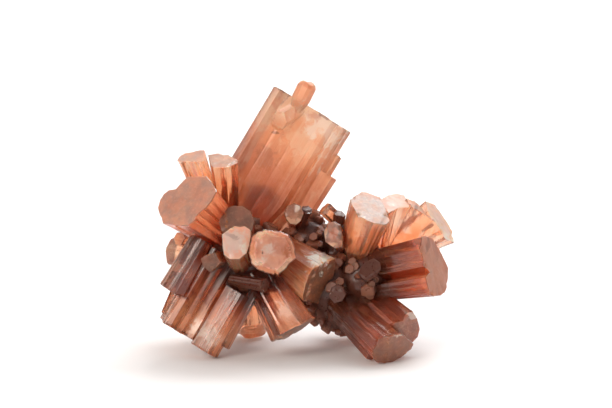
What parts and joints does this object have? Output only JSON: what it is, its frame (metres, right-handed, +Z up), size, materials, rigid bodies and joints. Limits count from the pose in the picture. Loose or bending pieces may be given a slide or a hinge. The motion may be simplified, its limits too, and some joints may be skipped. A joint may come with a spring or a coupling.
{
  "type": "aragonite specimen",
  "caption": "Natural aragonite cluster: two sprays of stout six-sided crystals growing from a mass of small ones, standing on corners of its own crystals.",
  "frame": {"origin": "on the ground under the middle of the specimen's box, at the level of its four worn feet", "axes": "+Z up, +X to the right when it is seen from its best side, and -Y towards whoever looks at that side"},
  "size_m": [0.0594, 0.0388, 0.0535],
  "materials": {
    "rose_aragonite": "glossy",
    "amber_aragonite": "glossy",
    "umber_aragonite": "glossy"
  },
  "bodies": {
    "root": {"tall_crystal": "amber_aragonite", "front_right_crystal": "rose_aragonite", "left_crystal": "rose_aragonite", "small_left_crystal": "umber_aragonite", "lower_left_crystals": "umber_aragonite", "lower_middle_crystal": "rose_aragonite", "lower_right_crystal": "umber_aragonite", "right_crystal": "umber_aragonite", "right_upper_crystal": "amber_aragonite", "upper_inner_crystals": "umber_aragonite", "tall_foot_crystal": "rose_aragonite", "front_left_crystal": "rose_aragonite", "middle_crystal": "umber_aragonite", "upper_left_crystal": "amber_aragonite", "upper_middle_crystal": "amber_aragonite", "front_upper_crystal": "umber_aragonite", "far_right_crystals": "amber_aragonite", "back_foot_crystal": "amber_aragonite", "far_left_crystals": "amber_aragonite", "back_left_crystal": "rose_aragonite", "back_middle_crystal": "umber_aragonite", "back_low_left_crystal": "rose_aragonite", "back_top_crystal": "amber_aragonite", "back_right_crystal": "rose_aragonite", "back_far_right_crystal": "umber_aragonite", "back_right_foot_crystal": "umber_aragonite", "back_inner_crystal": "rose_aragonite", "back_bridge_crystal": "umber_aragonite", "small_crystals": "umber_aragonite"}
  },
  "joints": []
}
